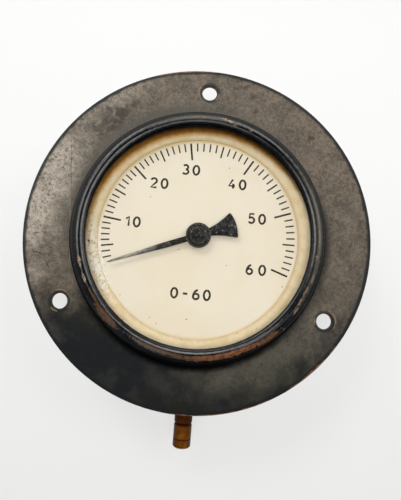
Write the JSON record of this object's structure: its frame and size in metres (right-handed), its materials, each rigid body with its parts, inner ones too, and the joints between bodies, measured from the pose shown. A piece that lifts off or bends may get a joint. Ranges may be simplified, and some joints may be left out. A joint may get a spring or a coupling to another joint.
{
  "type": "pedal force gauge",
  "caption": "Round panel gauge for pedal force: front flange, black bezel, cream dial, pointer on a Bourdon tube movement and a brass inlet pipe below.",
  "frame": {"origin": "centre of the mounting flange's rear face, which seats on the panel", "axes": "+X to the dial's right, +Z to twelve o'clock, -Y out of the dial towards the viewer"},
  "size_m": [0.11, 0.0356, 0.1243],
  "materials": {
    "flange_paint": "aged satin, worn at the edges",
    "bezel_black": "gloss black enamel, worn to copper brown low down",
    "case_black": "matt black",
    "window": "clear, flat",
    "gasket_rubber": "matt",
    "spacer_black": "matt black",
    "dial_cream": "matt cream with black print",
    "pointer_black": "worn black",
    "brass": "aged",
    "bright_brass": "turned and cut",
    "steel": "turned",
    "screw_steel": "zinc grey",
    "spring_steel": "blued strip",
    "tube_bronze": "drawn bronze"
  },
  "bodies": {
    "case": {"front_flange": "flange_paint", "bezel_ring": "bezel_black", "case_can": "case_black", "window_glass": "window", "glass_gasket": "gasket_rubber", "distance_ring": "spacer_black", "dial_ring": "dial_cream", "dial_plate": "dial_cream", "hairspring": "spring_steel", "hairspring_stud": "bright_brass", "sector_stop": "steel", "bourdon_tube": "tube_bronze", "socket_block": "brass", "inlet_pipe": "brass", "movement_back_plate": "bright_brass", "movement_front_plate": "bright_brass", "plate_pillars": "steel", "plate_screws": "screw_steel", "movement_screws": "screw_steel", "case_screws": "screw_steel"},
    "pointer": {"pointer_blade": "pointer_black", "pointer_hub": "pointer_black", "pinion_arbor": "steel", "hairspring_collet": "bright_brass"},
    "sector": {"sector_gear": "bright_brass", "sector_arbor": "steel", "link_screw": "screw_steel"},
    "link": {"link_strip": "bright_brass"},
    "tube_end": {"tube_end_piece": "bright_brass", "tip_pin": "screw_steel"}
  },
  "joints": [
    {"name": "sector_swing", "type": "hinge", "parent": "case", "child": "sector", "pos_m": [0.01167, 0.0116, -0.01167], "axis": [0, 1, 0], "range_deg": [-22, 0], "stiffness_Nm_per_rad": 0.005},
    {"name": "pointer_spin", "type": "hinge", "parent": "case", "child": "pointer", "pos_m": [0, 0.0116, 0], "axis": [0, 1, 0], "range_deg": [0, 220], "deforming": ["hairspring"]},
    {"name": "link_pivot", "type": "hinge", "parent": "sector", "child": "link", "pos_m": [0.0176, 0.0116, -0.01592], "axis": [0, 1, 0], "range_deg": [0, 22]},
    {"name": "tip_swing", "type": "hinge", "parent": "case", "child": "tube_end", "pos_m": [-0.00452, 0.0148, 0.00759], "axis": [0, 1, 0], "range_deg": [-5.5, 0], "deforming": ["bourdon_tube"]}
  ],
  "couplings": [
    {"joint": "pointer_spin", "follows": "sector_swing", "ratio": -10},
    {"joint": "link_pivot", "follows": "sector_swing", "ratio": -0.9955},
    {"joint": "tip_swing", "follows": "sector_swing", "ratio": 0.249}
  ]
}
